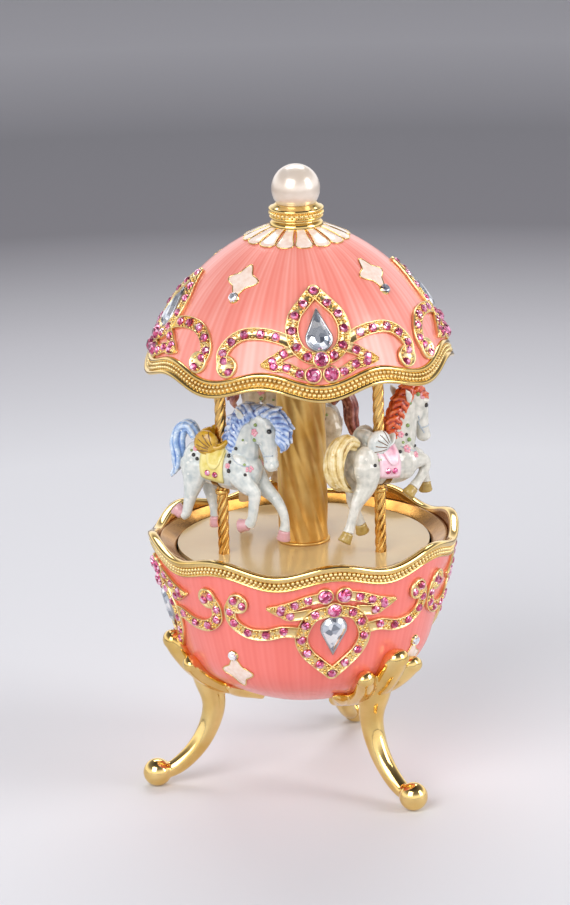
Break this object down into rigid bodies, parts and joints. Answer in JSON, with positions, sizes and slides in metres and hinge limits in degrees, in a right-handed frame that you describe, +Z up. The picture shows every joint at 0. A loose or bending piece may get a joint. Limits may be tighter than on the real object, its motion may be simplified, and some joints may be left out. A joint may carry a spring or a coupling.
{
  "type": "carousel music box",
  "caption": "Egg-shaped carousel music box on cabriole legs: horses ride a turntable between an enamelled bowl and a domed canopy, turned by a wind-up movement.",
  "frame": {"origin": "on the egg's axis at the height of the floor under the three feet", "axes": "+Z up along the axis the carousel turns on; -Y is the front, where one of the bowl's medallions faces; +X to the right of the front"},
  "size_m": [0.083, 0.0796, 0.1607],
  "materials": {
    "gold_plate": "polished",
    "matte_gold": "satin",
    "twist_gold": "polished",
    "coral_enamel_bowl": "gloss",
    "coral_enamel_dome": "gloss",
    "cream_enamel": "gloss",
    "gilt_ceiling": "satin",
    "pearl_lacquer": "pearl",
    "clear_crystal": "faceted",
    "pink_crystal": "faceted",
    "blue_horse_enamel": "gloss",
    "red_horse_enamel": "gloss",
    "brown_horse_enamel": "gloss",
    "machined_brass": "machined",
    "turned_steel": "machined"
  },
  "bodies": {
    "base": {"bowl_shell": "coral_enamel_bowl", "bowl_rim": "gold_plate", "bezel_ring": "gold_plate", "leg_left": "gold_plate", "leg_right": "gold_plate", "leg_back": "gold_plate", "leg_screws": "turned_steel", "bedplate": "machined_brass", "bedplate_screws": "turned_steel", "pillars": "machined_brass", "pillar_screws": "turned_steel", "top_plate": "machined_brass", "spindle_bush": "machined_brass", "clutch_cup": "machined_brass", "comb": "turned_steel", "comb_block": "machined_brass", "comb_screws": "turned_steel", "bowl_medallions": "gold_plate", "bowl_pink_stones": "pink_crystal", "bowl_pear_stones": "clear_crystal", "bowl_star_stones": "clear_crystal"},
    "carousel": {"spindle": "turned_steel", "spring_barrel": "machined_brass", "barrel_cover": "machined_brass", "mainspring": "turned_steel", "drive_hub": "machined_brass", "turntable": "cream_enamel", "column": "matte_gold", "post_blue": "twist_gold", "post_red": "twist_gold", "post_brown": "twist_gold", "horse_blue": "blue_horse_enamel", "horse_red": "red_horse_enamel", "horse_brown": "brown_horse_enamel", "ceiling_plate": "gilt_ceiling", "dome_shell": "coral_enamel_dome", "dome_rim": "gold_plate", "dome_spacer": "turned_steel", "dome_medallions": "gold_plate", "dome_pink_stones": "pink_crystal", "dome_pear_stones": "clear_crystal", "dome_star_stones": "clear_crystal", "finial_collar": "gold_plate", "pearl": "pearl_lacquer"},
    "winder": {"winding_knob": "machined_brass", "winding_arbor": "turned_steel"},
    "cylinder": {"music_cylinder": "machined_brass"},
    "governor": {"governor_wheel": "machined_brass"},
    "fly": {"fly": "machined_brass"}
  },
  "joints": [
    {"name": "carousel_spin", "type": "hinge", "parent": "base", "child": "carousel", "pos_m": [0, 0, 0.06], "axis": [0, 0, 1], "continuous": true},
    {"name": "winder_turn", "type": "hinge", "parent": "base", "child": "winder", "pos_m": [0, 0, 0.03], "axis": [0, 0, -1], "range_deg": [0, 1080]},
    {"name": "cylinder_spin", "type": "hinge", "parent": "base", "child": "cylinder", "pos_m": [0.0198, 0, 0.048], "axis": [0, 0, 1], "continuous": true},
    {"name": "governor_spin", "type": "hinge", "parent": "base", "child": "governor", "pos_m": [-0.018, 0, 0.048], "axis": [0, 0, 1], "continuous": true},
    {"name": "fly_spin", "type": "hinge", "parent": "base", "child": "fly", "pos_m": [-0.01939, -0.00788, 0.048], "axis": [0, 0, 1], "continuous": true}
  ],
  "couplings": [
    {"joint": "cylinder_spin", "follows": "carousel_spin", "ratio": -3.125},
    {"joint": "governor_spin", "follows": "carousel_spin", "ratio": -5},
    {"joint": "fly_spin", "follows": "carousel_spin", "ratio": 15}
  ]
}
